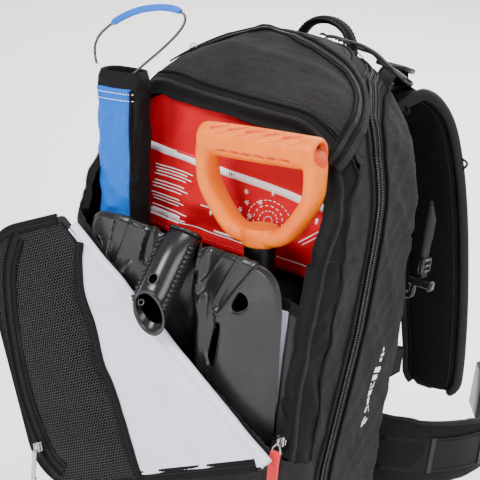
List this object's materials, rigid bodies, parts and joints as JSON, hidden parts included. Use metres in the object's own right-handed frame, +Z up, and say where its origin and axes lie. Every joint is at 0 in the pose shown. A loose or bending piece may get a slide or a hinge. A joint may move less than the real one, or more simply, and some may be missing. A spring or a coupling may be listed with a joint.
{
  "type": "avalanche airbag backpack",
  "caption": "Black ski-touring airbag backpack, front tool compartment open to show a shovel with an orange D-grip and a blue probe bag.",
  "frame": {"origin": "centre of the flat bottom that the pack stands on", "axes": "+X to the wearer's right, -Y out of the pack's front, +Y towards the wearer's back, +Z up the pack"},
  "size_m": [0.3977, 0.5169, 0.5899],
  "materials": {
    "pack_fabric": "black ripstop-woven nylon",
    "base_fabric": "dark grey coated fabric",
    "zip_tape": "black coil zip tape",
    "lining_white": "pale lilac-white lining",
    "mesh_black": "black knitted mesh",
    "binding_black": "black binding tape",
    "divider_black": "black lining",
    "rescue_red": "bright red printed nylon",
    "blade_black": "black satin anodised aluminium",
    "shaft_black": "black anodised tube",
    "grip_orange": "soft orange moulded plastic",
    "button_steel": "steel lock button",
    "probe_blue": "azure coated nylon",
    "probe_tube": "anodised probe segments",
    "wire_steel": "steel wire rope",
    "wire_sleeve": "blue rubber sleeve",
    "slider_metal": "nickel-plated zip slider",
    "pull_red": "red webbing pull",
    "pull_black": "black moulded zip pull",
    "foam_black": "black foam with air mesh",
    "webbing_black": "black nylon webbing",
    "buckle_black": "black moulded acetal",
    "frame_plastic": "black polyethylene frame sheet",
    "frame_aluminium": "aluminium stays",
    "airbag_orange": "folded orange airbag cloth",
    "inflator_plastic": "black inflator housing",
    "valve_brass": "brass valve head",
    "cylinder_grey": "aluminium gas cylinder",
    "lever_steel": "steel lever",
    "cable_black": "black cable housing",
    "trigger_red": "red moulded trigger handle"
  },
  "bodies": {
    "pack_body": {"base_panel": "base_fabric", "side_panel_left": "pack_fabric", "side_panel_right": "pack_fabric", "back_wall": "pack_fabric", "main_zip_rear": "zip_tape", "frame_sheet": "frame_plastic", "frame_stays": "frame_aluminium", "back_pads": "foam_black", "lumbar_pad": "foam_black", "haul_loop": "webbing_black", "lower_wings": "pack_fabric", "side_strap": "webbing_black", "airbag": "airbag_orange", "inflator_housing": "inflator_plastic", "inlet_grille": "buckle_black", "valve_head": "valve_brass", "release_cable": "cable_black"},
    "lid": {"lid_dome": "pack_fabric", "lid_side_left": "pack_fabric", "lid_side_right": "pack_fabric", "front_panel": "pack_fabric", "main_zip_front": "zip_tape", "opening_zip": "zip_tape", "tool_divider": "divider_black", "tool_floor": "divider_black", "rescue_panel": "rescue_red", "tool_sleeve": "lining_white"},
    "flap": {"flap_panel": "lining_white", "flap_binding": "binding_black", "mesh_pocket": "mesh_black"},
    "mesh_pull": {"mesh_slider": "slider_metal"},
    "opening_pull": {"opening_slider": "pull_red"},
    "main_pull_left": {"main_slider_left": "pull_black"},
    "main_pull_right": {"main_slider_right": "pull_black"},
    "handle": {"d_grip": "grip_orange", "shovel_shaft": "shaft_black"},
    "button": {"lock_button": "button_steel"},
    "blade": {"shovel_blade": "blade_black", "blade_socket": "blade_black"},
    "probe": {"probe_bag": "probe_blue", "probe_tubes": "probe_tube", "wire_loop": "wire_steel", "loop_grip": "wire_sleeve"},
    "strap_left": {"shoulder_strap_left": "foam_black", "load_lifter_left": "buckle_black", "trigger_holder": "webbing_black"},
    "strap_right": {"shoulder_strap_right": "foam_black", "load_lifter_right": "buckle_black"},
    "chest_left": {"chest_strap_left": "buckle_black"},
    "chest_right": {"chest_strap_right": "buckle_black"},
    "trigger": {"trigger_handle": "trigger_red"},
    "belt_left": {"belt_wing_left": "pack_fabric", "belt_buckle_plug": "buckle_black"},
    "belt_right": {"belt_wing_right": "pack_fabric", "belt_buckle_socket": "buckle_black"},
    "hook": {"side_hook": "buckle_black"},
    "cylinder": {"gas_cylinder": "cylinder_grey"},
    "lever": {"release_lever": "lever_steel"},
    "striker": {"striker_pin": "lever_steel"}
  },
  "joints": [
    {"name": "lid_open", "type": "hinge", "parent": "pack_body", "child": "lid", "pos_m": [0, -0.1265, 0.1075], "axis": [1, 0, 0], "range_deg": [0, 55]},
    {"name": "flap_swing", "type": "hinge", "parent": "lid", "child": "flap", "pos_m": [-0.121, -0.138, 0.377], "axis": [-0.849, 0, 0.5285], "range_deg": [0, 60]},
    {"name": "mesh_zip", "type": "slide", "parent": "flap", "child": "mesh_pull", "axis": [-0.37, 0, 0.929], "range_m": [0, 0.12]},
    {"name": "opening_zip_slide", "type": "slide", "parent": "lid", "child": "opening_pull", "axis": [0, 0, 1], "range_m": [0, 0.15]},
    {"name": "main_zip_left", "type": "slide", "parent": "pack_body", "child": "main_pull_left", "axis": [-1, 0, 0], "range_m": [0, 0.03]},
    {"name": "main_zip_right", "type": "slide", "parent": "pack_body", "child": "main_pull_right", "axis": [1, 0, 0], "range_m": [0, 0.03]},
    {"name": "handle_lift", "type": "slide", "parent": "lid", "child": "handle", "axis": [-0.1219, -0.0519, 0.9912], "range_m": [0, 0.3]},
    {"name": "button_press", "type": "slide", "parent": "handle", "child": "button", "axis": [0, -0.9986, -0.0523], "range_m": [0, 0.003], "stiffness_N_per_m": 300},
    {"name": "blade_lift", "type": "slide", "parent": "lid", "child": "blade", "axis": [0, -0.0523, 0.9986], "range_m": [0, 0.3]},
    {"name": "probe_lift", "type": "slide", "parent": "lid", "child": "probe", "axis": [-0.1115, -0.052, 0.9924], "range_m": [0, 0.35]},
    {"name": "strap_swing_left", "type": "hinge", "parent": "pack_body", "child": "strap_left", "pos_m": [0, 0.074, 0.47], "axis": [1, 0, 0], "range_deg": [-4, 16]},
    {"name": "strap_swing_right", "type": "hinge", "parent": "pack_body", "child": "strap_right", "pos_m": [0, 0.074, 0.47], "axis": [1, 0, 0], "range_deg": [-4, 16]},
    {"name": "chest_slide_left", "type": "slide", "parent": "strap_left", "child": "chest_left", "axis": [-0.143, 0.072, -0.9871], "range_m": [-0.03, 0.03]},
    {"name": "chest_slide_right", "type": "slide", "parent": "strap_right", "child": "chest_right", "axis": [0.143, 0.072, -0.9871], "range_m": [-0.03, 0.03]},
    {"name": "trigger_pull", "type": "slide", "parent": "strap_left", "child": "trigger", "axis": [0, 0, -1], "range_m": [0, 0.022]},
    {"name": "belt_swing_left", "type": "hinge", "parent": "pack_body", "child": "belt_left", "pos_m": [-0.097, 0.088, 0.16], "axis": [0, 0, -1], "range_deg": [-12, 22]},
    {"name": "belt_swing_right", "type": "hinge", "parent": "pack_body", "child": "belt_right", "pos_m": [0.097, 0.088, 0.16], "axis": [0, 0, 1], "range_deg": [-12, 22]},
    {"name": "hook_swing", "type": "hinge", "parent": "pack_body", "child": "hook", "pos_m": [0.14, 0.072, 0.3565], "axis": [1, 0, 0], "range_deg": [-15, 30]},
    {"name": "cylinder_turn", "type": "hinge", "parent": "pack_body", "child": "cylinder", "pos_m": [-0.07, 0.012, 0.2], "axis": [0, 0, 1], "continuous": true},
    {"name": "lever_turn", "type": "hinge", "parent": "pack_body", "child": "lever", "pos_m": [-0.07, 0.012, 0.358], "axis": [1, 0, 0], "range_deg": [-26, 26]},
    {"name": "striker_slide", "type": "slide", "parent": "pack_body", "child": "striker", "axis": [0, 0, -1], "range_m": [0, 0.006]}
  ],
  "couplings": [
    {"joint": "lever_turn", "follows": "trigger_pull", "rad_per_m": -20},
    {"joint": "striker_slide", "follows": "trigger_pull", "ratio": 0.25}
  ]
}
